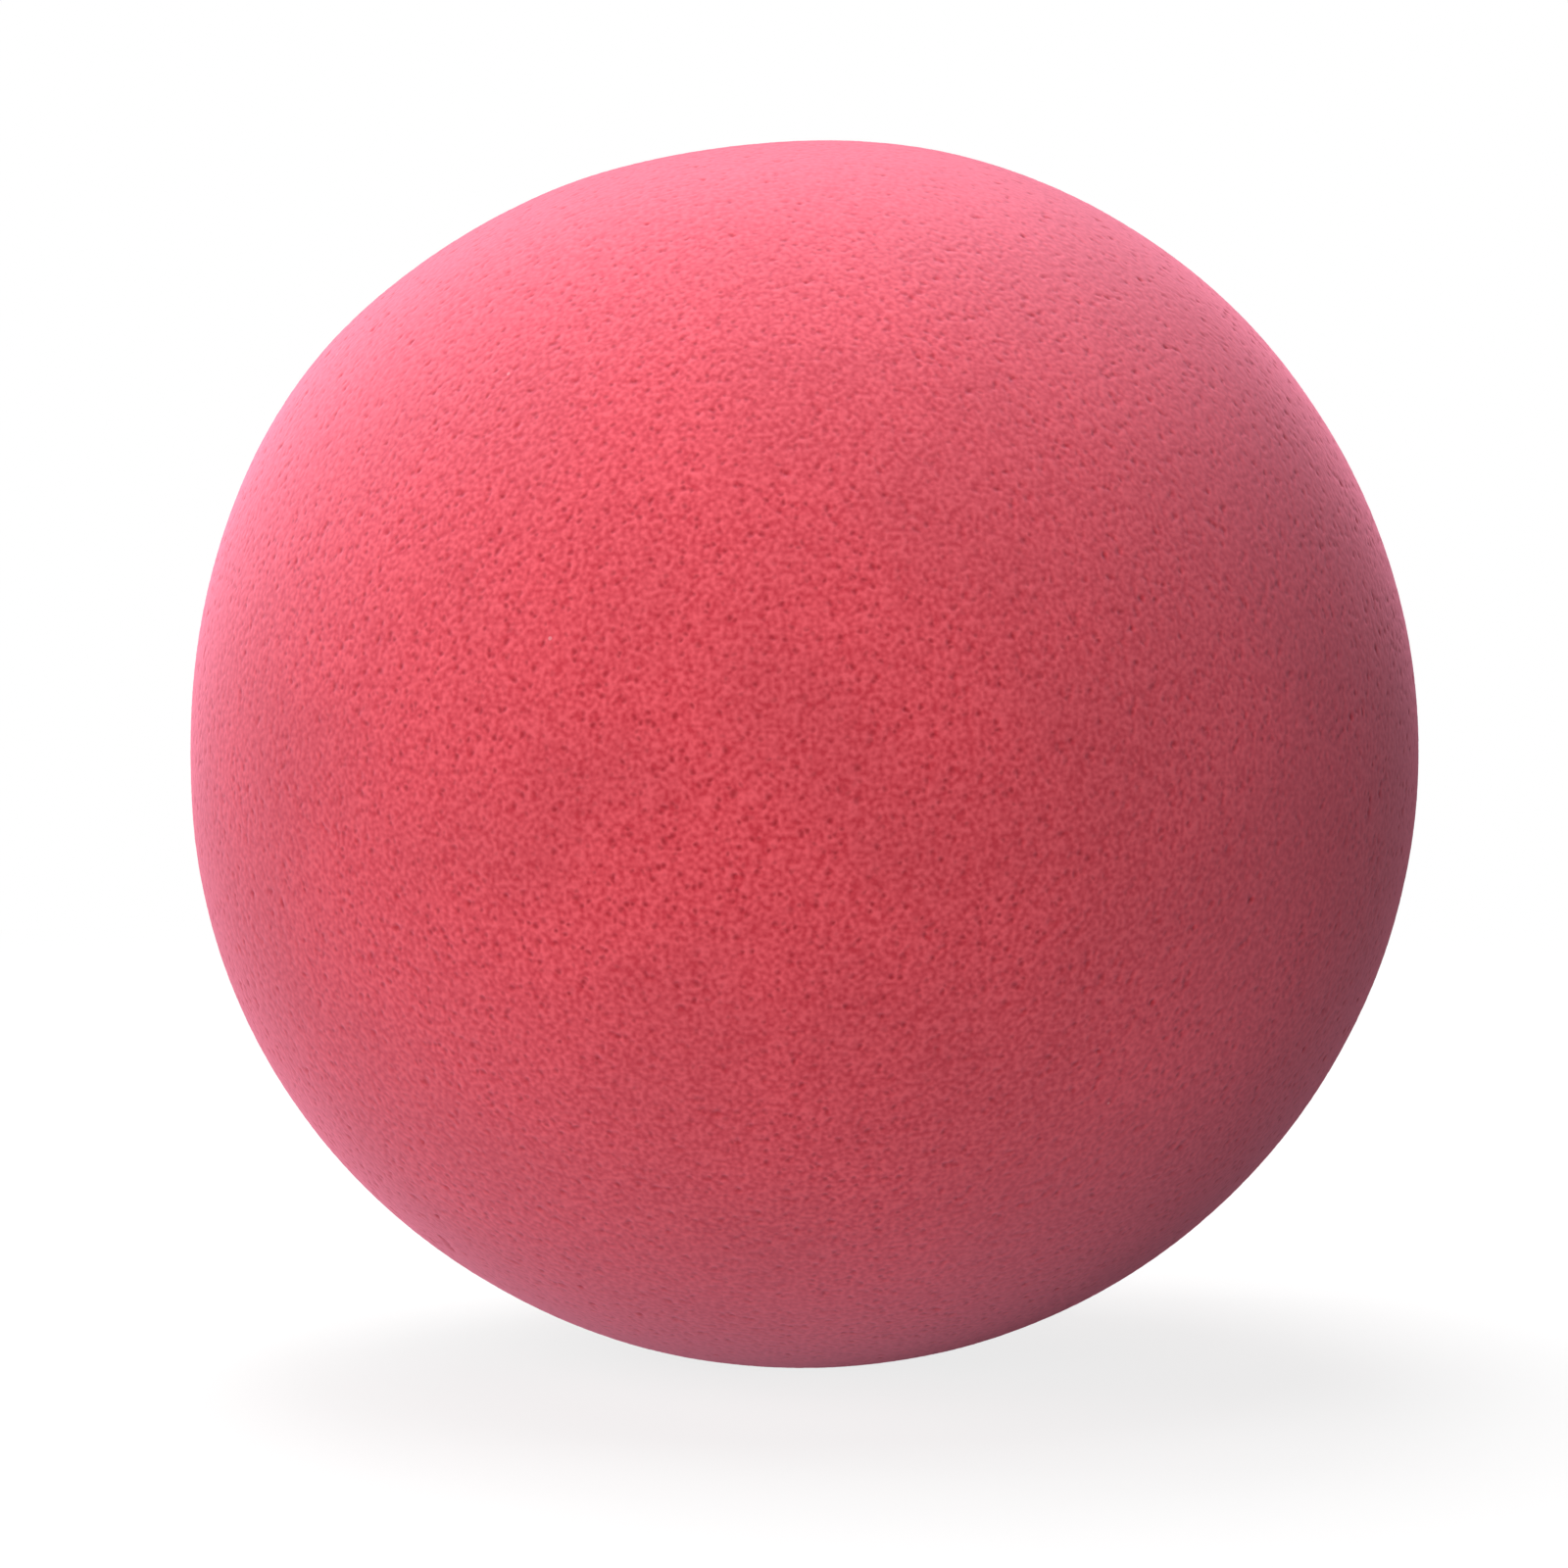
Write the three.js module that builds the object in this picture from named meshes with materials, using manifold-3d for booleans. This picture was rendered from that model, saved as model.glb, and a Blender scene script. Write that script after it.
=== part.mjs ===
// Foam play ball: two moulded half-balls, bonded to each other on a flat upright seam.
// Each half is a dense, finely pored skin over a softer core.
// Millimetres, +Z up. The front half faces -Y, and the seam lies in the XZ plane.
// The origin is the middle of the flat that the ball rests on, at floor level.
import * as THREE from "three";
import { mergeVertices } from "three/addons/utils/BufferGeometryUtils.js";
import Module from "manifold-3d";

// Driving dimensions, in millimetres
const ballDiameter = 180;
const skinThickness = 1.5;
const coreClearance = 0.3; // between the inside of a skin and its core
const bondThickness = 0.6; // glue between the two halves
const seamGrooveDepth = 0.5; // how far the glue stops short of the ball's surface
const restFlatDiameter = 30; // flat that the ball's own weight presses under it

// Places where the soft ball is out of round, all on the seam's circle.
// The angle runs from +X towards +Z and the spread is measured round the ball, both in degrees.
// The rise is in millimetres, and a place that is pressed flat has a rise below zero.
const unevenPlaces = [
  { name: "flat on top", angle: 97, rise: -1.0, spread: 15 },
  { name: "flat on the left", angle: 179, rise: -0.9, spread: 15 },
  { name: "shoulder at the upper left", angle: 143, rise: 1.2, spread: 15 },
  { name: "fullness at the upper right", angle: 48, rise: 0.35, spread: 25 },
];

// Fineness of the faceted surface
const facetsAround = 48;
const facetsPoleToPole = 24;

// Foam and glue finishes
const skinFoam = new THREE.MeshStandardMaterial({ color: 0xd4485a, roughness: 0.95, metalness: 0 });
const coreFoam = new THREE.MeshStandardMaterial({ color: 0xe06a76, roughness: 1.0, metalness: 0 });
const bondGlue = new THREE.MeshStandardMaterial({ color: 0x9c3442, roughness: 0.6, metalness: 0 });

const ballRadius = ballDiameter / 2;
const centreHeight = Math.sqrt(ballRadius ** 2 - (restFlatDiameter / 2) ** 2);
const reach = Math.ceil(ballDiameter); // cutting blocks go well past the ball
const front = -1;
const rear = 1;

const wasm = await Module();
wasm.setup();

// A closed geometry as a solid that can be joined and cut
function solidFrom(geometry) {
  geometry.deleteAttribute("normal");
  geometry.deleteAttribute("uv");
  const merged = mergeVertices(geometry);
  const vertProperties = merged.attributes.position.array;
  const triVerts = new Uint32Array(merged.index.array);
  return new wasm.Manifold(new wasm.Mesh({ numProp: 3, vertProperties, triVerts }));
}

// How far the surface stands above or below a true ball in a given direction
function unevenness(direction) {
  let rise = 0;
  for (const place of unevenPlaces) {
    const angle = THREE.MathUtils.degToRad(place.angle);
    const middle = new THREE.Vector3(Math.cos(angle), 0, Math.sin(angle));
    const away = THREE.MathUtils.radToDeg(direction.angleTo(middle));
    rise += place.rise * Math.exp(-((away / place.spread) ** 2));
  }
  return rise;
}

// Everything above a level, for cutting the ball's underside flat
function blockAbove(level) {
  const block = new THREE.BoxGeometry(2 * reach, 2 * reach, 2 * reach);
  block.translate(0, 0, level + reach);
  return solidFrom(block);
}

// The whole ball about its own centre, or the same form a given distance further in
function ballForm(inset) {
  const ball = new THREE.SphereGeometry(ballRadius, facetsAround, facetsPoleToPole);
  const points = ball.attributes.position;
  const point = new THREE.Vector3();
  for (let i = 0; i < points.count; i++) {
    point.fromBufferAttribute(points, i).normalize();
    point.setLength(ballRadius + unevenness(point) - inset);
    points.setXYZ(i, point.x, point.y, point.z);
  }
  return solidFrom(ball).intersect(blockAbove(inset - centreHeight));
}

// The slab of space that the glue takes up between the halves
function bondSlab() {
  return solidFrom(new THREE.BoxGeometry(2 * reach, bondThickness, 2 * reach));
}

// The half of a form that lies on one side of the glue
function halfOf(form, side) {
  const block = new THREE.BoxGeometry(2 * reach, reach, 2 * reach);
  block.translate(0, (side * reach) / 2, 0);
  return form.subtract(bondSlab()).intersect(solidFrom(block));
}

// One named piece of the ball
function piece(name, solid, material) {
  const { vertProperties, triVerts } = solid.getMesh();
  const geometry = new THREE.BufferGeometry();
  geometry.setAttribute("position", new THREE.BufferAttribute(vertProperties, 3));
  geometry.setIndex(new THREE.BufferAttribute(triVerts, 1));
  geometry.computeVertexNormals();
  const mesh = new THREE.Mesh(geometry, material);
  mesh.name = name;
  return mesh;
}

// The dense outer layer of one half, open at the seam
function skin(name, side) {
  const shell = ballForm(0).subtract(ballForm(skinThickness));
  return piece(name, halfOf(shell, side), skinFoam);
}

// The soft half-ball that fills a skin
function core(name, side) {
  const filling = ballForm(skinThickness + coreClearance);
  return piece(name, halfOf(filling, side), coreFoam);
}

// The disc of glue between the halves, its edge at the bottom of the seam's groove
function bondFilm() {
  return piece("bond_film", ballForm(seamGrooveDepth).intersect(bondSlab()), bondGlue);
}

const frontHalf = new THREE.Group();
frontHalf.add(skin("front_skin", front), core("front_core", front));

const rearHalf = new THREE.Group();
rearHalf.add(skin("rear_skin", rear), core("rear_core", rear));

const ball = new THREE.Group();
ball.add(frontHalf, rearHalf, bondFilm());
ball.position.z = centreHeight;

export default ball;
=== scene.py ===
import math

import bpy
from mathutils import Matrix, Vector


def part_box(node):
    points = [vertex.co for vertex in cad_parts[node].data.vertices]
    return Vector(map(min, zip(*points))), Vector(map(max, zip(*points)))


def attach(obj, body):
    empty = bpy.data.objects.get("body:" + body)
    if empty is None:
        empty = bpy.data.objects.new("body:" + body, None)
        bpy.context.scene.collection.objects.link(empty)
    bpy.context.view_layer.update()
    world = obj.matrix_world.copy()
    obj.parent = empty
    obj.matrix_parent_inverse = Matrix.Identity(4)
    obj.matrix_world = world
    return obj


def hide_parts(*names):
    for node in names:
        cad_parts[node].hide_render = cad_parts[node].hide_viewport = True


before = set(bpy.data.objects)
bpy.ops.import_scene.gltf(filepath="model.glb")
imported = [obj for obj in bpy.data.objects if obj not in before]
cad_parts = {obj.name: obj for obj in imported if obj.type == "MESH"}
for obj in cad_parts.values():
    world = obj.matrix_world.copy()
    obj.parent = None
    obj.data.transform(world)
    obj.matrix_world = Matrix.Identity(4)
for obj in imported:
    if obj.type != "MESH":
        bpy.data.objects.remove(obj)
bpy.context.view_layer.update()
print("frame loaded:", ", ".join(sorted(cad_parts)))

# sizes that the frame gives, in metres
ballRadius = (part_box("rear_skin")[1].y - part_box("front_skin")[0].y) / 2
seamHalfGap = (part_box("rear_skin")[0].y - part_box("front_skin")[1].y) / 2
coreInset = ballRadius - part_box("rear_core")[1].y
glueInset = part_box("bond_film")[0].z  # how far the glue stops short of the surface

# the moulded form that the skins, cores and glue share, in metres
ballForm = {
    "restFlatRadius": 0.015,  # flat pressed under the ball by its own weight
    "restEdgeSoftness": 0.0008,
    "skinThickness": 0.0015,
    "cellSize": 0.00072,  # spacing of the foam's grains
    "poreSpacing": 0.0016,
    "poreWidth": 0.00125,
    "pinholeSpacing": 0.003,
    "pinholeWidth": 0.0014,
    "rimWaver": 0.35,  # how far a hole's rim strays, as a share of the holes' spacing
    "rimWaves": 1.5,  # how many times it strays in that spacing
    "gatherReach": 1.3,  # how many pinhole widths off faces are still drawn to a pinhole
    "gatherPull": 0.45,  # how much of the way the nearest ones go
    "plainLip": (0.0003, 0.0018),  # from the seam: where the grain and holes begin, and where they are full
    "closingRings": 16,
    "samePlace": 1e-6,  # points closer than this are one
    "unevenPlaces": (  # angle round the seam from +X towards +Z, rise in metres, spread in degrees
        ("flat on top", 97, -0.0010, 15),
        ("flat on the left", 179, -0.0009, 15),
        ("shoulder at the upper left", 143, 0.0012, 15),
        ("fullness at the upper right", 48, 0.00035, 25),
    ),
}
centreHeight = math.sqrt(ballRadius**2 - ballForm["restFlatRadius"] ** 2)
ballCentre = Vector((0, 0, centreHeight))
seamAxis = (0.0, 1.0, 0.0)  # square to the seam, from the front half to the rear one
noiseMiddle = 0.5  # what a noise gives on average
noiseSpread = (0.3, 0.7)  # nearly all that it gives lies between these


# node helpers

def feed(tree, socket, value):
    # a link where the value comes from another node, a plain setting where it doesn't
    if isinstance(value, bpy.types.NodeSocket):
        tree.links.new(value, socket)
    else:
        socket.default_value = value


def addNode(tree, kind, inputs=None, **settings):
    node = tree.nodes.new(kind)
    for name, value in settings.items():
        setattr(node, name, value)
    for key, value in (inputs or {}).items():
        feed(tree, node.inputs[key], value)
    return node


def calc(tree, operation, *values):
    node = addNode(tree, "ShaderNodeMath", operation=operation)
    for socket, value in zip(node.inputs, values):
        feed(tree, socket, value)
    return node.outputs["Value"]


def vecCalc(tree, operation, *values):
    node = addNode(tree, "ShaderNodeVectorMath", operation=operation)
    for socket, value in zip(node.inputs, values):
        feed(tree, socket, value)
    single = operation in ("DOT_PRODUCT", "LENGTH", "DISTANCE")
    return node.outputs["Value" if single else "Vector"]


def scaled(tree, vector, factor):
    inputs = {"Vector": vector, "Scale": factor}
    return addNode(tree, "ShaderNodeVectorMath", inputs, operation="SCALE").outputs["Vector"]


def splitUp(tree, vector):
    return addNode(tree, "ShaderNodeSeparateXYZ", {"Vector": vector}).outputs


def joinUp(tree, x, y, z):
    return addNode(tree, "ShaderNodeCombineXYZ", {"X": x, "Y": y, "Z": z}).outputs["Vector"]


def ramp(tree, value, start, end, atStart, atEnd, kind="SMOOTHSTEP"):
    # goes from one value to another between start and end, easing in and out unless LINEAR is asked for
    inputs = {"Value": value, "From Min": start, "From Max": end, "To Min": atStart, "To Max": atEnd}
    return addNode(tree, "ShaderNodeMapRange", inputs, interpolation_type=kind).outputs["Result"]


def bell(tree, share):
    # 1 in the middle, falling away on both sides and about a third where the share is 1
    return calc(tree, "EXPONENT", calc(tree, "MULTIPLY", calc(tree, "POWER", share, 2.0), -1.0))


def noiseAt(tree, vector, scale, detail=0.0, roughness=0.5, output="Fac"):
    inputs = {"Vector": vector, "Scale": scale, "Detail": detail, "Roughness": roughness}
    return addNode(tree, "ShaderNodeTexNoise", inputs, noise_dimensions="3D").outputs[output]


def grainAt(tree, where, cellSize):
    return noiseAt(tree, where, calc(tree, "DIVIDE", 1.0, cellSize), 0.5)


def nearestHole(tree, where, spacing):
    # the way to the middle of the nearest burst cell and how far off it is; they lie all through the foam, so
    # that the surface cuts some deep and some shallow, and their rims are ragged
    perHole = calc(tree, "DIVIDE", 1.0, spacing)
    shake = noiseAt(tree, where, calc(tree, "MULTIPLY", perHole, ballForm["rimWaves"]), output="Color")
    shake = vecCalc(tree, "SUBTRACT", shake, (noiseMiddle, noiseMiddle, noiseMiddle))
    stray = scaled(tree, shake, calc(tree, "MULTIPLY", spacing, ballForm["rimWaver"]))
    ragged = vecCalc(tree, "ADD", where, stray)
    inputs = {"Vector": ragged, "Scale": perHole}
    nearest = addNode(tree, "ShaderNodeTexVoronoi", inputs, voronoi_dimensions="3D").outputs
    towards = vecCalc(tree, "SUBTRACT", nearest["Position"], ragged)
    return towards, calc(tree, "MULTIPLY", nearest["Distance"], spacing)


def holeMask(tree, away, width):
    # 1 in the middle of a hole, easing to 0 at its rim, half its width away
    return ramp(tree, calc(tree, "DIVIDE", away, width), 0.0, 0.5, 1.0, 0.0)


def newGroup(name, kind, inputs, outputs):
    # an empty node group with named sockets: inputs are (name, type, default), outputs (name, type)
    tree = bpy.data.node_groups.new(name, kind)
    for label, socketType, default in inputs:
        socket = tree.interface.new_socket(label, in_out="INPUT", socket_type=socketType)
        if default is not None:
            socket.default_value = default
    for label, socketType in outputs:
        tree.interface.new_socket(label, in_out="OUTPUT", socket_type=socketType)
    given = tree.nodes.new("NodeGroupInput").outputs
    result = tree.nodes.new("NodeGroupOutput").inputs
    return tree, given, result


# geometry nodes

def movedTo(tree, geometry, position):
    return addNode(tree, "GeometryNodeSetPosition", {"Geometry": geometry, "Position": position}).outputs[0]


def movedBy(tree, geometry, offset):
    return addNode(tree, "GeometryNodeSetPosition", {"Geometry": geometry, "Offset": offset}).outputs[0]


def positionIn(tree):
    return addNode(tree, "GeometryNodeInputPosition").outputs["Position"]


def noted(tree, geometry, name, value, kind="FLOAT", domain="POINT", only=True):
    # keeps a value on the mesh for later nodes and for the materials
    inputs = {"Geometry": geometry, "Selection": only, "Name": name, "Value": value}
    node = addNode(tree, "GeometryNodeStoreNamedAttribute", inputs, data_type=kind, domain=domain)
    return node.outputs[0]


def recalled(tree, name):
    node = addNode(tree, "GeometryNodeInputNamedAttribute", {"Name": name}, data_type="FLOAT")
    return node.outputs["Attribute"]


def makeRiseGroup():
    # how far one uneven place lifts or sinks the surface in a direction
    inputs = (
        ("Direction", "NodeSocketVector", None),
        ("Middle", "NodeSocketVector", None),
        ("Rise", "NodeSocketFloat", 0.0),
        ("Spread", "NodeSocketFloat", 15.0),
    )
    outputs = (("Rise", "NodeSocketFloat"),)
    tree, given, result = newGroup("uneven place", "GeometryNodeTree", inputs, outputs)
    away = calc(tree, "ARCCOSINE", vecCalc(tree, "DOT_PRODUCT", given["Direction"], given["Middle"]))
    share = calc(tree, "DIVIDE", calc(tree, "DEGREES", away), given["Spread"])
    feed(tree, result["Rise"], calc(tree, "MULTIPLY", bell(tree, share), given["Rise"]))
    return tree


def halfBall(tree, given):
    # half of a cube of even faces, blown up into half a ball of radius 1
    corners = calc(tree, "ADD", given["Faces Per Edge"], 1.0)
    inputs = {"Size": (2.0, 2.0, 2.0), "Vertices X": corners, "Vertices Y": corners, "Vertices Z": corners}
    mesh = addNode(tree, "GeometryNodeMeshCube", inputs).outputs["Mesh"]
    ownSide = calc(tree, "MULTIPLY", vecCalc(tree, "DOT_PRODUCT", positionIn(tree), seamAxis), given["Side"])
    inputs = {"Geometry": mesh, "Selection": calc(tree, "LESS_THAN", ownSide, 0.0)}
    mesh = addNode(tree, "GeometryNodeDeleteGeometry", inputs, domain="FACE").outputs[0]
    warped = vecCalc(tree, "TANGENT", scaled(tree, positionIn(tree), math.pi / 4))
    return movedTo(tree, mesh, vecCalc(tree, "NORMALIZE", warped))


def shapedHalf(tree, given, mesh, riseGroup):
    # out of round where the soft ball is, with a slow swell
    direction = positionIn(tree)
    reach = given["Radius"]
    for name, angle, rise, spread in ballForm["unevenPlaces"]:
        turn = math.radians(angle)
        middle = (math.cos(turn), 0.0, math.sin(turn))
        inputs = {"Direction": direction, "Middle": middle, "Rise": rise, "Spread": spread}
        place = addNode(tree, "GeometryNodeGroup", inputs, node_tree=riseGroup, label=name)
        reach = calc(tree, "ADD", reach, place.outputs["Rise"])
    swellScale = calc(tree, "DIVIDE", ballRadius, given["Swell Size"])
    swell = calc(tree, "SUBTRACT", noiseAt(tree, direction, swellScale, 1.0), noiseMiddle)
    reach = calc(tree, "MULTIPLY_ADD", swell, given["Swell"], reach)

    # the lip rolls in towards the seam, and has no grain or holes
    fromSeam = calc(tree, "ABSOLUTE", vecCalc(tree, "DOT_PRODUCT", direction, seamAxis))
    fromSeam = calc(tree, "MULTIPLY", fromSeam, given["Radius"])
    lip = bell(tree, calc(tree, "DIVIDE", fromSeam, given["Lip Width"]))
    reach = calc(tree, "SUBTRACT", reach, calc(tree, "MULTIPLY", lip, given["Lip Depth"]))
    mesh = noted(tree, mesh, "relief", ramp(tree, fromSeam, *ballForm["plainLip"], 0.0, 1.0))
    mesh = movedTo(tree, mesh, scaled(tree, direction, reach))

    # flat underneath, and drawn back from the seam by half the glue's thickness
    at = splitUp(tree, positionIn(tree))
    level = calc(tree, "SMOOTH_MAX", at["Z"], given["Rest Level"], ballForm["restEdgeSoftness"])
    left = calc(tree, "SUBTRACT", given["Radius"], given["Seam Half Gap"])
    squeeze = calc(tree, "DIVIDE", left, given["Radius"])
    shift = calc(tree, "MULTIPLY", given["Side"], given["Seam Half Gap"])
    depth = calc(tree, "MULTIPLY_ADD", at["Y"], squeeze, shift)
    return movedTo(tree, mesh, joinUp(tree, at["X"], depth, level))


def pittedHalf(tree, given, mesh):
    # faces gather round each pinhole before it sinks
    relief = recalled(tree, "relief")
    outward = vecCalc(tree, "NORMALIZE", positionIn(tree))
    where = vecCalc(tree, "ADD", positionIn(tree), tuple(ballCentre))
    towards, away = nearestHole(tree, where, given["Pinhole Spacing"])
    inwards = scaled(tree, outward, vecCalc(tree, "DOT_PRODUCT", towards, outward))
    share = calc(tree, "DIVIDE", away, given["Pinhole Width"])
    gathered = ramp(tree, share, 0.0, ballForm["gatherReach"], ballForm["gatherPull"], 0.0)
    gathered = calc(tree, "MULTIPLY", gathered, relief)
    mesh = movedBy(tree, mesh, scaled(tree, vecCalc(tree, "SUBTRACT", towards, inwards), gathered))
    mesh = noted(tree, mesh, "pinhole", holeMask(tree, away, given["Pinhole Width"]))
    poreAway = nearestHole(tree, where, given["Pore Spacing"])[1]
    mesh = noted(tree, mesh, "pore", holeMask(tree, poreAway, given["Pore Width"]))

    # a small nick, a narrow dent across the surface
    fromNick = vecCalc(tree, "SUBTRACT", positionIn(tree), given["Nick Place"])
    nickOut = vecCalc(tree, "NORMALIZE", given["Nick Place"])
    across = vecCalc(tree, "CROSS_PRODUCT", nickOut, given["Nick Run"])
    squares = 0.0
    for axis, size in ((given["Nick Run"], "Nick Length"), (across, "Nick Width"), (nickOut, "Nick Length")):
        share = calc(tree, "DIVIDE", vecCalc(tree, "DOT_PRODUCT", fromNick, axis), given[size])
        squares = calc(tree, "ADD", calc(tree, "POWER", share, 2.0), squares)
    mesh = noted(tree, mesh, "nick", calc(tree, "EXPONENT", calc(tree, "MULTIPLY", squares, -1.0)))

    # raise the grain and sink the pores, pinholes and nick
    grain = grainAt(tree, where, given["Cell Size"])
    lift = calc(tree, "MULTIPLY", calc(tree, "SUBTRACT", grain, noiseMiddle), given["Grain Depth"])
    for kind in ("Pore", "Pinhole"):
        sunk = calc(tree, "MULTIPLY", recalled(tree, kind.lower()), given[kind + " Depth"])
        lift = calc(tree, "SUBTRACT", lift, sunk)
    lift = calc(tree, "MULTIPLY", lift, relief)
    lift = calc(tree, "SUBTRACT", lift, calc(tree, "MULTIPLY", recalled(tree, "nick"), given["Nick Depth"]))
    mesh = movedBy(tree, mesh, scaled(tree, outward, lift))

    # nothing hangs below the floor
    lowest = joinUp(tree, -1.0, -1.0, given["Rest Level"])
    return movedTo(tree, mesh, vecCalc(tree, "MAXIMUM", positionIn(tree), lowest))


def closedHalf(tree, given, mesh):
    # the open edge is carried inwards, ring by ring, to a point: round the inside of a skin, or flat across
    # a core
    rings = ballForm["closingRings"]
    faceCount = addNode(tree, "GeometryNodeInputMeshEdgeNeighbors").outputs["Face Count"]
    ring = calc(tree, "COMPARE", faceCount, 1.0, 0.5)  # edges with a face on one side only
    inner = calc(tree, "SUBTRACT", given["Radius"], given["Wall"])
    edge = calc(tree, "SUBTRACT", given["Radius"], given["Lip Depth"])
    bowl = calc(tree, "MULTIPLY", calc(tree, "SUBTRACT", inner, given["Seam Half Gap"]), given["Hollow"])
    before = 1.0
    for step in range(rings + 1):
        turn = math.pi / 2 * step / rings
        share = math.cos(turn) if step < rings else 0.0
        inputs = {"Mesh": mesh, "Selection": ring, "Offset Scale": 0.0}
        extruded = addNode(tree, "GeometryNodeExtrudeMesh", inputs, mode="EDGES").outputs
        ring = extruded["Top"]
        mesh = noted(tree, extruded["Mesh"], "inside", 1.0, domain="FACE", only=extruded["Side"])
        at = splitUp(tree, positionIn(tree))
        # first from the lip to the inner wall, then by shares of what is left
        scale = share / before if step else calc(tree, "DIVIDE", inner, edge)
        level = calc(tree, "MULTIPLY_ADD", bowl, math.sin(turn), given["Seam Half Gap"])
        x = calc(tree, "MULTIPLY", at["X"], scale)
        y = calc(tree, "MULTIPLY", level, given["Side"])
        z = calc(tree, "MULTIPLY", at["Z"], scale)
        inputs = {"Geometry": mesh, "Selection": ring, "Position": joinUp(tree, x, y, z)}
        mesh = addNode(tree, "GeometryNodeSetPosition", inputs).outputs[0]
        before = share
    inputs = {"Geometry": mesh, "Selection": ring, "Distance": ballForm["samePlace"]}
    return addNode(tree, "GeometryNodeMergeByDistance", inputs).outputs[0]


# where the dome and what is behind it lie on the unwrapped square
unwrapLayout = {
    "domeRadius": 0.488,
    "domeMiddle": (0.5, 0.5, 0.0),
    "backRadius": 0.06,
    "backMiddle": (0.07, 0.07, 0.0),
}


def unwrappedHalf(tree, given, mesh):
    # the dome goes to a wide disc, what is behind it to a small one in the corner
    layout = unwrapLayout
    at = splitUp(tree, positionIn(tree))
    outDepth = calc(tree, "MULTIPLY", at["Y"], given["Side"])
    facing = calc(tree, "DIVIDE", outDepth, vecCalc(tree, "LENGTH", positionIn(tree)))
    domeShare = calc(tree, "SQRT", calc(tree, "MAXIMUM", calc(tree, "SUBTRACT", 1.0, facing), 0.0))
    handed = calc(tree, "MULTIPLY", given["Side"], -1.0)  # so that neither half reads mirrored
    flatPlace = joinUp(tree, calc(tree, "MULTIPLY", at["X"], handed), at["Z"], 0.0)
    domeReach = calc(tree, "MULTIPLY", domeShare, layout["domeRadius"])
    domePlace = scaled(tree, vecCalc(tree, "NORMALIZE", flatPlace), domeReach)
    domePlace = vecCalc(tree, "ADD", domePlace, layout["domeMiddle"])
    backScale = calc(tree, "DIVIDE", layout["backRadius"], given["Radius"])
    backPlace = vecCalc(tree, "ADD", scaled(tree, flatPlace, backScale), layout["backMiddle"])
    pick = addNode(tree, "ShaderNodeMix", data_type="VECTOR")
    feed(tree, pick.inputs["Factor"], recalled(tree, "inside"))
    feed(tree, pick.inputs[4], domePlace)
    feed(tree, pick.inputs[5], backPlace)
    return noted(tree, mesh, "OFBake", pick.outputs[1], kind="FLOAT2", domain="CORNER")


def makeDomeTree(riseGroup):
    # half of the ball, with its flats, seam lip, grain, pores, pinholes and nick, closed behind
    inputs = (
        ("Radius", "NodeSocketFloat", ballRadius),
        ("Side", "NodeSocketFloat", -1.0),
        ("Faces Per Edge", "NodeSocketInt", 40),
        ("Rest Level", "NodeSocketFloat", -centreHeight),
        ("Seam Half Gap", "NodeSocketFloat", seamHalfGap),
        ("Wall", "NodeSocketFloat", 0.0),
        ("Hollow", "NodeSocketFloat", 0.0),  # 1 for a skin, 0 for a solid half
        ("Lip Depth", "NodeSocketFloat", 0.0),
        ("Lip Width", "NodeSocketFloat", 0.001),
        ("Swell", "NodeSocketFloat", 0.0),
        ("Swell Size", "NodeSocketFloat", 0.03),
        ("Cell Size", "NodeSocketFloat", ballForm["cellSize"]),
        ("Grain Depth", "NodeSocketFloat", 0.0),
        ("Pore Spacing", "NodeSocketFloat", ballForm["poreSpacing"]),
        ("Pore Width", "NodeSocketFloat", ballForm["poreWidth"]),
        ("Pore Depth", "NodeSocketFloat", 0.0),
        ("Pinhole Spacing", "NodeSocketFloat", ballForm["pinholeSpacing"]),
        ("Pinhole Width", "NodeSocketFloat", ballForm["pinholeWidth"]),
        ("Pinhole Depth", "NodeSocketFloat", 0.0),
        ("Nick Place", "NodeSocketVector", (0.0, 0.0, 1.0)),
        ("Nick Run", "NodeSocketVector", (1.0, 0.0, 0.0)),
        ("Nick Length", "NodeSocketFloat", 0.002),
        ("Nick Width", "NodeSocketFloat", 0.0005),
        ("Nick Depth", "NodeSocketFloat", 0.0),
        ("Material", "NodeSocketMaterial", None),
    )
    outputs = (("Mesh", "NodeSocketGeometry"),)
    tree, given, result = newGroup("foam dome", "GeometryNodeTree", inputs, outputs)
    mesh = halfBall(tree, given)
    mesh = shapedHalf(tree, given, mesh, riseGroup)
    mesh = pittedHalf(tree, given, mesh)
    mesh = closedHalf(tree, given, mesh)
    mesh = unwrappedHalf(tree, given, mesh)
    mesh = movedBy(tree, mesh, tuple(ballCentre))
    mesh = addNode(tree, "GeometryNodeSetShadeSmooth", {"Geometry": mesh}).outputs[0]
    mesh = addNode(tree, "GeometryNodeRealizeInstances", {"Geometry": mesh}).outputs[0]
    inputs = {"Geometry": mesh, "Material": given["Material"]}
    feed(tree, result["Mesh"], addNode(tree, "GeometryNodeSetMaterial", inputs).outputs[0])
    return tree


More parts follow.
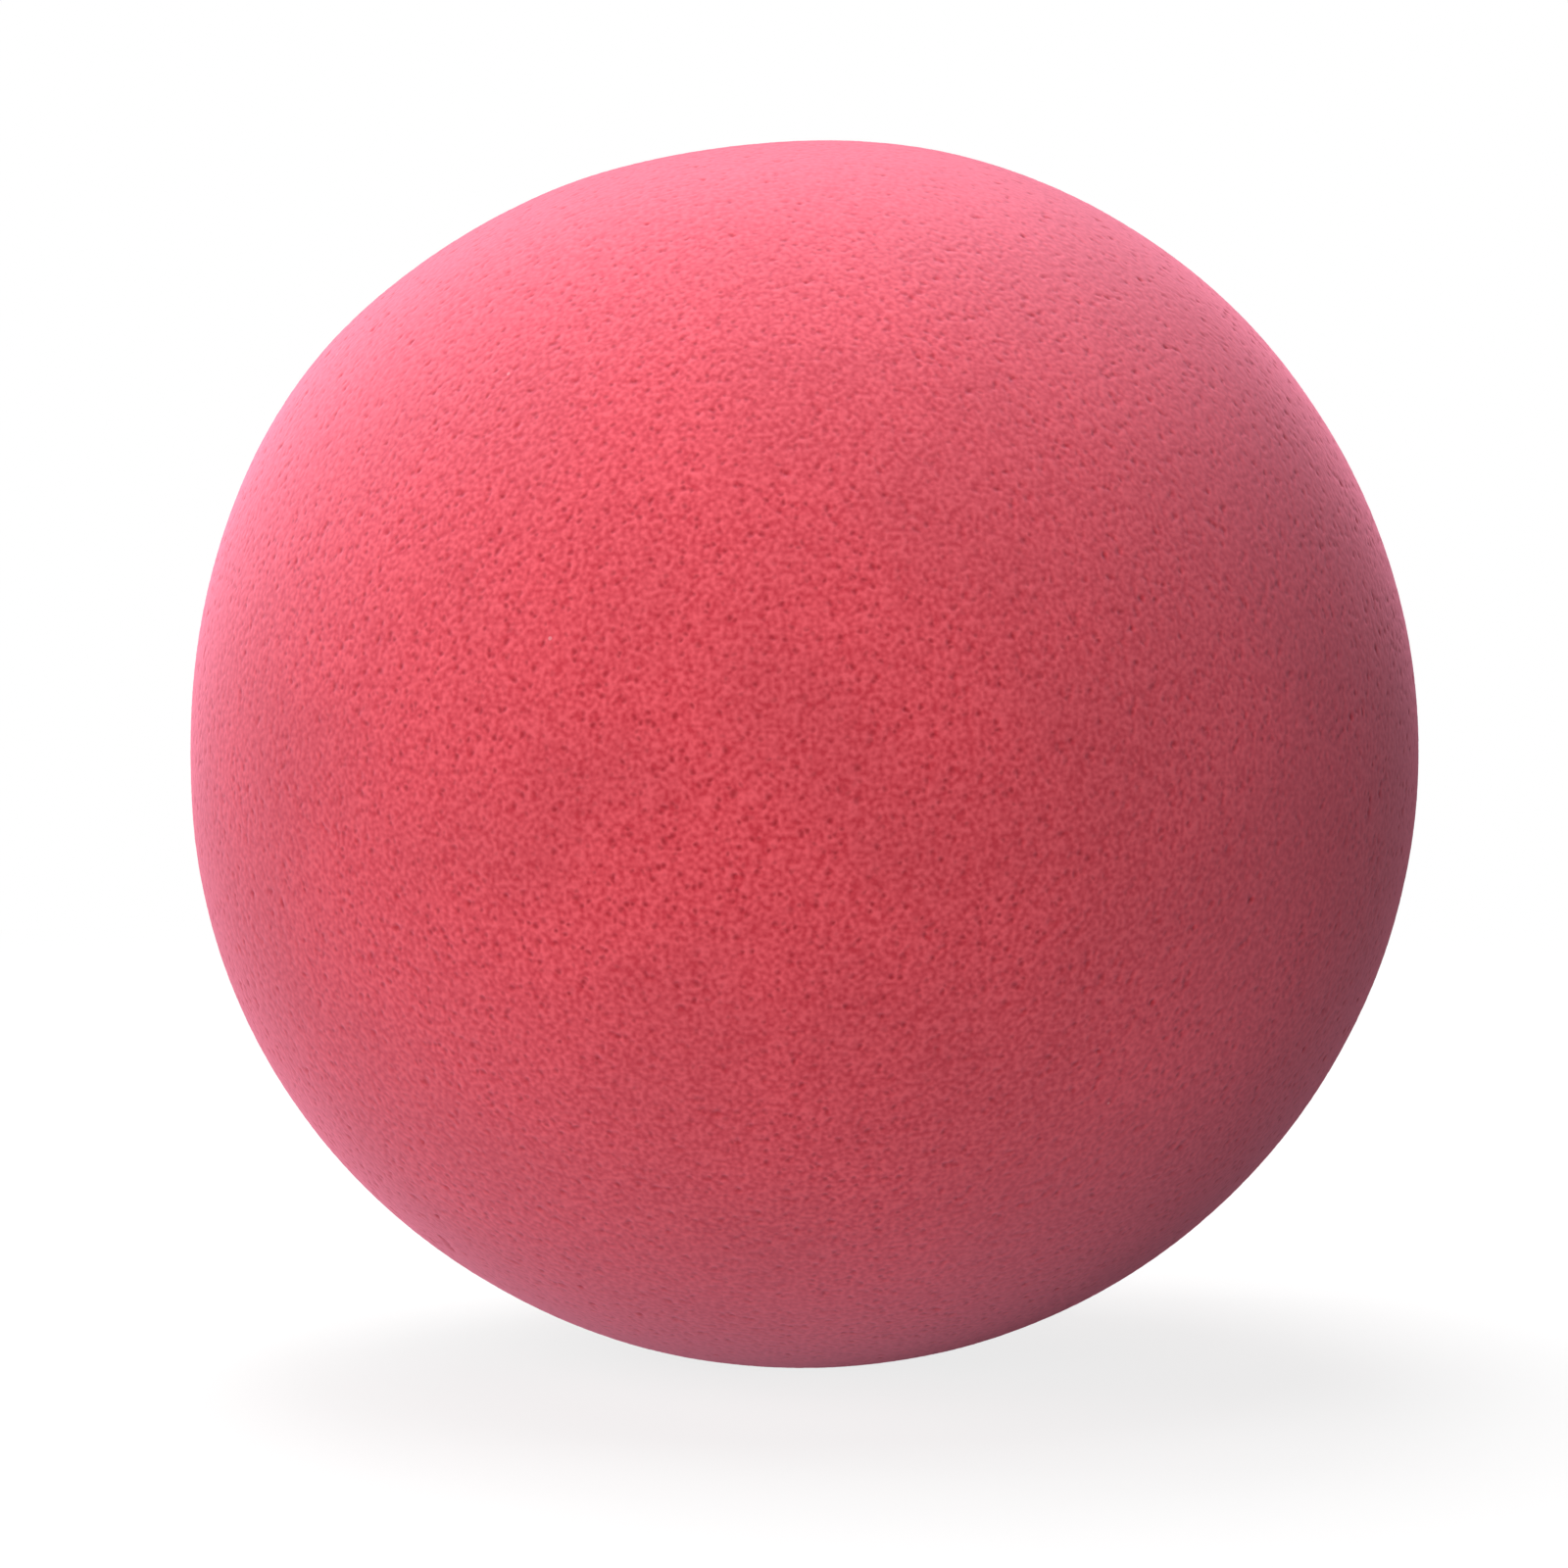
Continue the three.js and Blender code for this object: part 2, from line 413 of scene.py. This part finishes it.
def meshFromTree(name, tree, settings):
    # runs a geometry tree on an empty object and keeps the result as a plain mesh
    obj = bpy.data.objects.new(name, bpy.data.meshes.new(name + "Start"))
    bpy.context.scene.collection.objects.link(obj)
    modifier = obj.modifiers.new("shape", "NODES")
    modifier.node_group = tree
    for item in tree.interface.items_tree:
        if item.item_type == "SOCKET" and item.in_out == "INPUT" and item.name in settings:
            modifier[item.identifier] = settings[item.name]
    depsgraph = bpy.context.evaluated_depsgraph_get()
    mesh = bpy.data.meshes.new_from_object(obj.evaluated_get(depsgraph), depsgraph=depsgraph)
    mesh.name = name
    obj.modifiers.clear()
    obj.data = mesh
    return obj


# materials

cellHeights = {  # in the bump, against the grain's height of 1
    "fuzz": 0.2,
    "fuzzFineness": 3.0,  # how many times finer than the grain
    "hole": 0.4,
}


def makeCellGroup():
    # how the foam's burst cells, grain and slow blotches show in a finish
    inputs = (
        ("Vector", "NodeSocketVector", None),
        ("Cell Size", "NodeSocketFloat", ballForm["cellSize"]),
        ("Pore Spacing", "NodeSocketFloat", ballForm["poreSpacing"]),
        ("Pore Width", "NodeSocketFloat", ballForm["poreWidth"]),
        ("Pinhole Spacing", "NodeSocketFloat", ballForm["pinholeSpacing"]),
        ("Pinhole Width", "NodeSocketFloat", ballForm["pinholeWidth"]),
        ("Blotch Size", "NodeSocketFloat", 0.02),
    )
    outputs = [(name, "NodeSocketFloat") for name in ("Pore", "Pinhole", "Grain", "Blotch", "Height")]
    tree, given, result = newGroup("foam cells", "ShaderNodeTree", inputs, outputs)
    where = given["Vector"]
    grain = grainAt(tree, where, given["Cell Size"])
    fuzz = noiseAt(tree, where, calc(tree, "DIVIDE", cellHeights["fuzzFineness"], given["Cell Size"]), 1.0)
    blotch = noiseAt(tree, where, calc(tree, "DIVIDE", 1.0, given["Blotch Size"]), 1.0)
    height = calc(tree, "MULTIPLY_ADD", fuzz, cellHeights["fuzz"], grain)
    for kind in ("Pore", "Pinhole"):
        away = nearestHole(tree, where, given[kind + " Spacing"])[1]
        mask = holeMask(tree, away, given[kind + " Width"])
        height = calc(tree, "SUBTRACT", height, calc(tree, "MULTIPLY", mask, cellHeights["hole"]))
        feed(tree, result[kind], mask)
    for name, value in (("Grain", grain), ("Blotch", blotch), ("Height", height)):
        feed(tree, result[name], value)
    return tree


def mixed(tree, amount, first, second):
    node = addNode(tree, "ShaderNodeMix", data_type="RGBA")
    feed(tree, node.inputs["Factor"], amount)
    feed(tree, node.inputs[6], first)
    feed(tree, node.inputs[7], second)
    return node.outputs[2]


def startMaterial(name, plainValues):
    # a material whose shader has some sockets set to one value all over
    material = bpy.data.materials.new(name)
    material.use_nodes = True
    shader = material.node_tree.nodes["Principled BSDF"]
    for socket, value in plainValues.items():
        shader.inputs[socket].default_value = value
    return material, material.node_tree, shader.inputs


def objectPlace(tree):
    return addNode(tree, "ShaderNodeTexCoord").outputs["Object"]


def addCells(tree, cellGroup, settings):
    inputs = {"Vector": objectPlace(tree), **settings}
    return addNode(tree, "ShaderNodeGroup", inputs, node_tree=cellGroup).outputs


def addBump(tree, shader, depth, height):
    bump = addNode(tree, "ShaderNodeBump", {"Strength": 1.0, "Distance": depth, "Height": height})
    feed(tree, shader["Normal"], bump.outputs["Normal"])


skinFinish = {
    "hollowShade": (0.58, 0.027, 0.039, 1),  # painted shade between the grains
    "grain": (0.80, 0.096, 0.118, 1),  # tops of the grains, paler with a painted sheen
    "pore": (0.39, 0.006, 0.010, 1),  # painted shade inside a pore, pinhole or nick
    "dust": (0.74, 0.30, 0.32, 1),
    "grainSpread": (0.26, 0.74),
    "porePaintedShade": (0.55, 1.0),  # strength of the painted shade in the pores, in smooth patches and in open ones
    "patchSpread": (0.36, 0.64),
    "pinholePaintedShade": 1.0,
    "nickPaintedShade": 0.5,
    "blotchSize": 0.022,
    "blotchLightness": (0.95, 1.05),
    "dustSpacing": 0.012,
    "dustSpread": (0.015, 0.03),  # solid part and edge of a speck, as shares of the spacing
    "dustShade": 0.7,
    "roughness": (0.98, 0.84),  # between the grains and on their tops
    "bumpDepth": 0.00004,
    "plain": {
        "Specular IOR Level": 0.08,
        "Diffuse Roughness": 0.4,
        "Sheen Weight": 1.0,
        "Sheen Roughness": 0.65,
        "Sheen Tint": (1.0, 0.35, 0.50, 1),
    },
}


def makeSkinMaterial(cellGroup):
    look = skinFinish
    material, tree, shader = startMaterial("foamSkin", look["plain"])
    cells = addCells(tree, cellGroup, {"Blotch Size": look["blotchSize"]})
    nick = addNode(tree, "ShaderNodeAttribute", attribute_name="nick").outputs["Fac"]
    # the hollows between the grains carry painted shade and the grain tops a painted sheen, standing in for
    # how the grain's relief is lit
    paintedSheenShare = ramp(tree, cells["Grain"], *look["grainSpread"], 0.0, 1.0, "LINEAR")
    colour = mixed(tree, paintedSheenShare, look["hollowShade"], look["grain"])
    # painted shade in the pores, pinholes and nick, stronger in some patches; the mesh sinks them too
    patches = ramp(tree, cells["Blotch"], *look["patchSpread"], *look["porePaintedShade"])
    paintedPitShade = calc(tree, "MULTIPLY", cells["Pore"], patches)
    paintedPitShade = calc(tree, "MAXIMUM", paintedPitShade, calc(tree, "MULTIPLY", cells["Pinhole"], look["pinholePaintedShade"]))
    paintedPitShade = calc(tree, "MAXIMUM", paintedPitShade, calc(tree, "MULTIPLY", nick, look["nickPaintedShade"]))
    colour = mixed(tree, paintedPitShade, colour, look["pore"])
    blotch = ramp(tree, cells["Blotch"], *noiseSpread, *look["blotchLightness"])
    colour = addNode(tree, "ShaderNodeHueSaturation", {"Color": colour, "Value": blotch}).outputs["Color"]
    inputs = {"Vector": objectPlace(tree), "Scale": 1 / look["dustSpacing"]}
    speck = addNode(tree, "ShaderNodeTexVoronoi", inputs, voronoi_dimensions="3D").outputs["Distance"]
    dust = ramp(tree, speck, *look["dustSpread"], look["dustShade"], 0.0)
    feed(tree, shader["Base Color"], mixed(tree, dust, colour, look["dust"]))
    feed(tree, shader["Roughness"], ramp(tree, cells["Grain"], *noiseSpread, *look["roughness"]))
    addBump(tree, shader, look["bumpDepth"], cells["Height"])
    return material


coreFinish = {
    "foam": (0.72, 0.13, 0.16, 1),
    # painted shade in the open cells of the cut foam
    "cell": (0.42, 0.04, 0.055, 1),
    "cells": {
        "Cell Size": 0.0032,
        "Pore Spacing": 0.006,
        "Pore Width": 0.004,
        "Pinhole Spacing": 0.012,
        "Pinhole Width": 0.005,
    },
    "roughness": (1.0, 0.88),
    "bumpDepth": 0.0005,
    "plain": {"Specular IOR Level": 0.2},
}


def makeCoreMaterial(cellGroup):
    look = coreFinish
    material, tree, shader = startMaterial("foamCore", look["plain"])
    cells = addCells(tree, cellGroup, look["cells"])
    # the pores take the painted shade colour
    feed(tree, shader["Base Color"], mixed(tree, cells["Pore"], look["foam"], look["cell"]))
    feed(tree, shader["Roughness"], ramp(tree, cells["Grain"], *noiseSpread, *look["roughness"]))
    addBump(tree, shader, look["bumpDepth"], cells["Height"])
    return material


glueFinish = {
    "glue": (0.36, 0.035, 0.05, 1),
    "thin": (0.48, 0.06, 0.08, 1),
    "thinSpread": (0.35, 0.65),
    "brushSize": 0.006,
    "brushDetail": 4.0,
    "brushRoughness": 0.6,
    "roughness": (0.45, 0.75),
    "bumpDepth": 0.0001,
}


def makeGlueMaterial():
    look = glueFinish
    material, tree, shader = startMaterial("bondGlue", {})
    where = objectPlace(tree)
    streak = noiseAt(tree, where, 1 / look["brushSize"], look["brushDetail"], look["brushRoughness"])
    thinness = ramp(tree, streak, *look["thinSpread"], 0.0, 1.0)
    feed(tree, shader["Base Color"], mixed(tree, thinness, look["glue"], look["thin"]))
    feed(tree, shader["Roughness"], ramp(tree, streak, *noiseSpread, *look["roughness"]))
    addBump(tree, shader, look["bumpDepth"], streak)
    return material


domeTree = makeDomeTree(makeRiseGroup())
cellGroup = makeCellGroup()
skinMaterial = makeSkinMaterial(cellGroup)
coreMaterial = makeCoreMaterial(cellGroup)
glueMaterial = makeGlueMaterial()
print("node trees and materials made")


# camera, where the photograph was taken from; its frame is 1600 x 1600 pixels
shot = {
    "distance": 1.05,
    "elevation": 5.0,
    "sensor": 36,
    "frame": 1600,
    "ballPixel": (818.2, 767.3),
    "ballPixelRadius": 629.1,
}
shotTilt = math.radians(shot["elevation"])
shotBack = Vector((0, -math.cos(shotTilt), math.sin(shotTilt)))
shotUp = Vector((0, math.sin(shotTilt), math.cos(shotTilt)))
shotRight = Vector((1, 0, 0))


def makeCamera():
    halfFrame = shot["frame"] / 2
    ballTan = math.tan(math.asin(ballRadius / shot["distance"]))
    halfTan = ballTan * halfFrame / shot["ballPixelRadius"]
    perPixel = halfTan * shot["distance"] / halfFrame  # metres at the ball's centre
    data = bpy.data.cameras.new("camera")
    data.sensor_width = shot["sensor"]
    data.lens = data.sensor_width / 2 / halfTan
    camera = bpy.data.objects.new("camera", data)
    sideways = shotRight * (shot["ballPixel"][0] - halfFrame) * perPixel
    upwards = shotUp * (halfFrame - shot["ballPixel"][1]) * perPixel
    camera.location = ballCentre + shotBack * shot["distance"] - sideways - upwards
    camera.rotation_euler = (-shotBack).to_track_quat("-Z", "Y").to_euler()
    bpy.context.scene.collection.objects.link(camera)
    bpy.context.scene.camera = camera


# studio: azimuth 0 is the camera's side, growing towards +X; degrees, metres and watts
usualLamp = {"distance": 1.0, "size": 0.6}
lamps = {
    "above": {"azimuth": 0, "elevation": 90, "watts": 4.3},
    "behindAbove": {"azimuth": 188, "elevation": 60, "watts": 7.1},
    "behind": {"azimuth": 186, "elevation": 35, "watts": 2.3},
    "leftAbove": {"azimuth": 240, "elevation": 60, "watts": 3.3},
    "left": {"azimuth": 300, "elevation": 30, "watts": 3.2},
    "leftRim": {"azimuth": 225, "elevation": 2, "watts": 1.0, "size": 0.15},
    "frontLeft": {"azimuth": 334, "elevation": 4, "watts": 5.25},
    "frontRight": {"azimuth": 22, "elevation": 3, "watts": 1.25},
    "frontLow": {"azimuth": 346, "elevation": -6, "watts": 0.62, "size": 0.1, "distance": 0.6},
    "right": {"azimuth": 60, "elevation": 30, "watts": 0.15},
    "rightRim": {"azimuth": 140, "elevation": -2, "watts": 1.5, "size": 0.1},
}
studio = {
    "ambient": 0.01,
    "floorColour": 0.97,
    "floorBounce": 0.12,  # what the floor throws back onto the ball
    "shadowShare": 0.2,  # how much of the ball's shadow shows on the white floor
    "floorSize": 8.0,
    "floorFade": (0.25, 0.6),  # where the shadow starts to go and where it has gone
}
white = (1, 1, 1, 1)


def makeLamps():
    for name, settings in lamps.items():
        lamp = {**usualLamp, **settings}
        data = bpy.data.lights.new(name, "AREA")
        data.shape = "DISK"
        data.size = lamp["size"]
        data.energy = lamp["watts"]
        turn = math.radians(lamp["azimuth"])
        lift = math.radians(lamp["elevation"])
        back = Vector((math.sin(turn) * math.cos(lift), -math.cos(turn) * math.cos(lift), math.sin(lift)))
        obj = bpy.data.objects.new(name, data)
        obj.location = ballCentre + back * lamp["distance"]
        obj.rotation_euler = (-back).to_track_quat("-Z", "Y").to_euler()
        bpy.context.scene.collection.objects.link(obj)


def seenDirectly(tree):
    # rays that show the background itself, straight on or in a gloss
    path = addNode(tree, "ShaderNodeLightPath").outputs
    seen = calc(tree, "MAXIMUM", path["Is Camera Ray"], path["Is Transmission Ray"])
    return calc(tree, "MAXIMUM", seen, path["Is Glossy Ray"])


def mixShaders(tree, amount, first, second):
    node = addNode(tree, "ShaderNodeMixShader", {"Fac": amount})
    tree.links.new(first.outputs[0], node.inputs[1])
    tree.links.new(second.outputs[0], node.inputs[2])
    return node


def makeWorld():
    world = bpy.data.worlds.new("whiteRoom")
    bpy.context.scene.world = world
    world.use_nodes = True
    tree = world.node_tree
    tree.nodes.clear()
    ambient = addNode(tree, "ShaderNodeBackground", {"Color": white, "Strength": studio["ambient"]})
    backdrop = addNode(tree, "ShaderNodeBackground", {"Color": white, "Strength": 1.0})
    choice = mixShaders(tree, seenDirectly(tree), ambient, backdrop)
    tree.links.new(choice.outputs[0], addNode(tree, "ShaderNodeOutputWorld").inputs["Surface"])


def greyDiffuse(tree, level):
    return addNode(tree, "ShaderNodeBsdfDiffuse", {"Color": (level, level, level, 1)})


def makeFloor():
    half = studio["floorSize"] / 2
    corners = [(-half, -half, 0), (half, -half, 0), (half, half, 0), (-half, half, 0)]
    mesh = bpy.data.meshes.new("floor")
    mesh.from_pydata(corners, [], [(0, 1, 2, 3)])
    floor = bpy.data.objects.new("floor", mesh)
    bpy.context.scene.collection.objects.link(floor)
    material = bpy.data.materials.new("whiteFloor")
    material.use_nodes = True
    tree = material.node_tree
    tree.nodes.clear()
    dim = greyDiffuse(tree, studio["floorBounce"])
    lit = greyDiffuse(tree, studio["floorColour"])
    bright = addNode(tree, "ShaderNodeEmission", {"Color": white, "Strength": 1.0})
    away = vecCalc(tree, "LENGTH", objectPlace(tree))
    shadow = ramp(tree, away, *studio["floorFade"], studio["shadowShare"], 0.0)
    shown = mixShaders(tree, shadow, bright, lit)
    choice = mixShaders(tree, seenDirectly(tree), dim, shown)
    tree.links.new(choice.outputs[0], addNode(tree, "ShaderNodeOutputMaterial").inputs["Surface"])
    mesh.materials.append(material)


makeCamera()
makeLamps()
makeWorld()
makeFloor()
bpy.context.scene.view_settings.view_transform = "Standard"
print("camera and studio set")


# skins
skinShape = {
    "Faces Per Edge": 340,
    "Lip Depth": 0.0004,
    "Lip Width": 0.0012,
    "Swell": 0.0004,
    "Swell Size": 0.035,
    "Grain Depth": 0.00011,
    "Pore Depth": 0.00017,
    "Pinhole Depth": 0.00016,
    "Nick Length": 0.002,
    "Nick Width": 0.0005,
}
nickMark = {
    "pixel": (463, 1262),  # where the photograph shows it
    "endPixel": (483, 1292),
    "depth": 0.0003,
}


def onBall(pixel):
    # the place on the ball's front that a pixel of the photograph shows
    u = (pixel[0] - shot["ballPixel"][0]) / shot["ballPixelRadius"]
    v = (shot["ballPixel"][1] - pixel[1]) / shot["ballPixelRadius"]
    toCamera = math.sqrt(max(0.0, 1 - u * u - v * v))
    return (shotRight * u + shotUp * v + shotBack * toCamera).normalized() * ballRadius


def makeSkin(name, side, nickDepth):
    nickPlace = onBall(nickMark["pixel"])
    nickRun = (onBall(nickMark["endPixel"]) - nickPlace).normalized()
    settings = {
        **skinShape,
        "Radius": ballRadius,
        "Side": side,
        "Rest Level": -centreHeight,
        "Seam Half Gap": seamHalfGap,
        "Wall": ballForm["skinThickness"],
        "Hollow": 1.0,
        "Nick Place": tuple(nickPlace),
        "Nick Run": tuple(nickRun),
        "Nick Depth": nickDepth,
        "Material": skinMaterial,
    }
    skin = meshFromTree(name + "_foam", domeTree, settings)
    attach(skin, "root")
    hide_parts(name)
    print(name, "made with", len(skin.data.polygons), "faces")


makeSkin("front_skin", -1.0, nickMark["depth"])
makeSkin("rear_skin", 1.0, 0.0)


# cores
coreShape = {
    "Faces Per Edge": 90,
    "Wall": 0.004,  # first step in from the edge of the flat side
    "Lip Depth": 0.0003,
    "Lip Width": 0.0015,
    "Grain Depth": 0.0002,
    "Pore Depth": 0.0004,
    "Pinhole Depth": 0.0008,
}


def makeCore(name, side):
    settings = {
        **coreShape,
        **coreFinish["cells"],
        "Radius": ballRadius - coreInset,
        "Side": side,
        "Rest Level": -centreHeight + coreInset,
        "Seam Half Gap": seamHalfGap,
        "Material": coreMaterial,
    }
    core = meshFromTree(name + "_foam", domeTree, settings)
    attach(core, "root")
    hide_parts(name)
    print(name, "made with", len(core.data.polygons), "faces")


makeCore("front_core", -1.0)
makeCore("rear_core", 1.0)


# glue: a thin disc with a rounded edge that wanders a little where it was squeezed out
glueShape = {
    "pointsRound": 720,
    "edgeSteps": 6,  # across the thickness of the rounded edge
    "edgeRounding": 0.00022,
    "wander": 0.00012,
    "wanderTurns": (23, 61, 140),  # how many waves of each size go round
    "faceShares": (0.97, 0.9, 0.75, 0.55, 0.3),  # rings across the flat faces
}


def glueReach(angle):
    # from the ball's centre to the glue's edge, following the ball's uneven outline
    reach = ballRadius - glueInset
    for _, middle, rise, spread in ballForm["unevenPlaces"]:
        away = abs((math.degrees(angle) - middle + 180) % 360 - 180)
        reach += rise * math.exp(-((away / spread) ** 2))
    waves = [math.sin(turns * angle + turns) for turns in glueShape["wanderTurns"]]
    return reach - glueShape["wander"] * (1 + sum(waves) / len(waves)) / 2


def glueProfile():
    # (share of the reach, inset, depth) from the front face round the edge to the rear one
    profile = [(share, 0.0, -seamHalfGap) for share in reversed(glueShape["faceShares"])]
    for step in range(glueShape["edgeSteps"] + 1):
        turn = math.pi * (step / glueShape["edgeSteps"] - 0.5)
        inset = glueShape["edgeRounding"] * (1 - math.cos(turn))
        profile.append((1.0, inset, seamHalfGap * math.sin(turn)))
    return profile + [(share, 0.0, seamHalfGap) for share in glueShape["faceShares"]]


def makeGlue():
    count = glueShape["pointsRound"]
    profile = glueProfile()
    verts = []
    for share, inset, depth in profile:
        for point in range(count):
            angle = 2 * math.pi * point / count
            reach = glueReach(angle) * share - inset
            height = max(reach * math.sin(angle), (glueInset - centreHeight) * share + inset)
            verts.append((reach * math.cos(angle), depth, centreHeight + height))
    front = len(verts)
    rear = front + 1
    verts += [(0, -seamHalfGap, centreHeight), (0, seamHalfGap, centreHeight)]
    faces = []
    lastRing = (len(profile) - 1) * count
    for point in range(count):
        after = (point + 1) % count
        for ring in range(len(profile) - 1):
            here = ring * count
            faces.append((here + point, here + count + point, here + count + after, here + after))
        faces.append((front, point, after))
        faces.append((rear, lastRing + after, lastRing + point))
    mesh = bpy.data.meshes.new("bond_film_glue")
    mesh.from_pydata(verts, [], faces)
    mesh.materials.append(glueMaterial)
    mesh.shade_smooth()
    film = bpy.data.objects.new("bond_film_glue", mesh)
    bpy.context.scene.collection.objects.link(film)
    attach(film, "root")
    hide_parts("bond_film")
    print("bond_film made with", len(mesh.polygons), "faces")


makeGlue()
